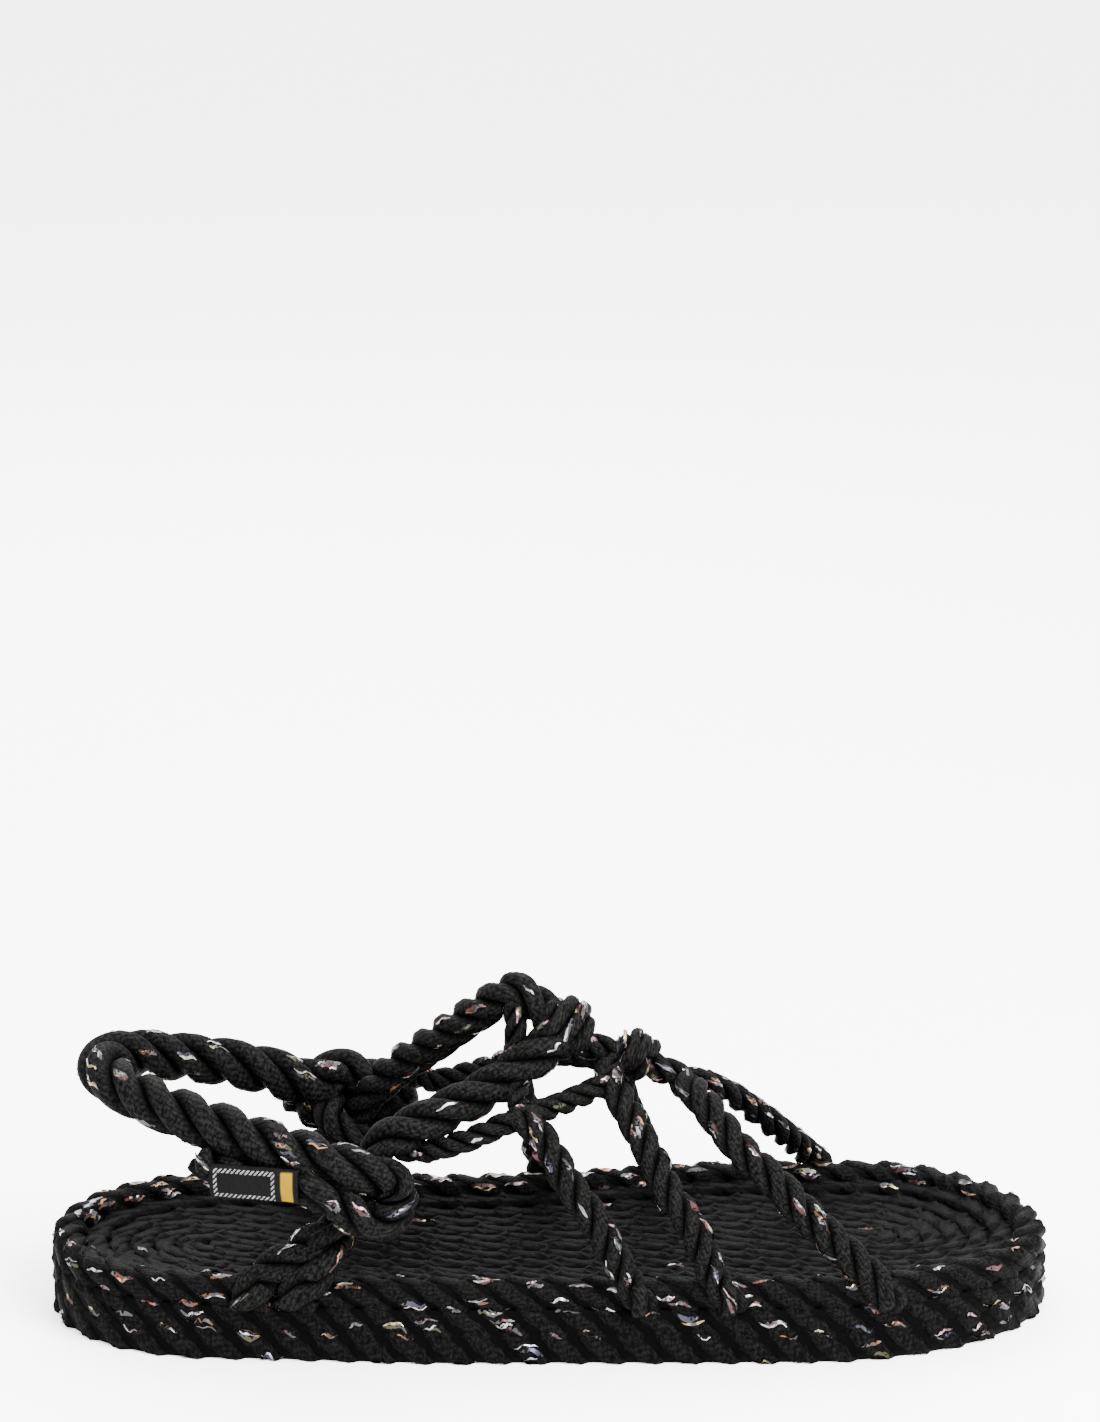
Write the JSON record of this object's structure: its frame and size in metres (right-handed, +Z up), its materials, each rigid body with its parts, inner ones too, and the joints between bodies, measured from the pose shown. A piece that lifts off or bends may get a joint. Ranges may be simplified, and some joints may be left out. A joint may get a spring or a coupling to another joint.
{
  "type": "rope sandal",
  "caption": "Open sandal of black laid rope: a coiled rope sole with a raised rim, knotted instep straps and a rope heel strap with sliding eyes.",
  "frame": {"origin": "on the floor under the middle of the sandal's length", "axes": "+X to the toe, +Y to the inner side of the foot, +Z up"},
  "size_m": [0.2756, 0.1065, 0.0964],
  "materials": {
    "sole_rope": "soft sheen, laid fibre with coloured flecks",
    "footbed_rope": "matt, thin laid fibre",
    "strap_rope": "soft sheen, laid fibre with coloured flecks",
    "label_cloth": "woven, pale stitched edge"
  },
  "bodies": {
    "root": {"outsole_coil": "sole_rope", "middle_coil": "sole_rope", "rim_rope": "sole_rope", "footbed": "footbed_rope", "upper": "strap_rope", "heel_strap": "strap_rope", "label": "label_cloth"}
  },
  "joints": []
}
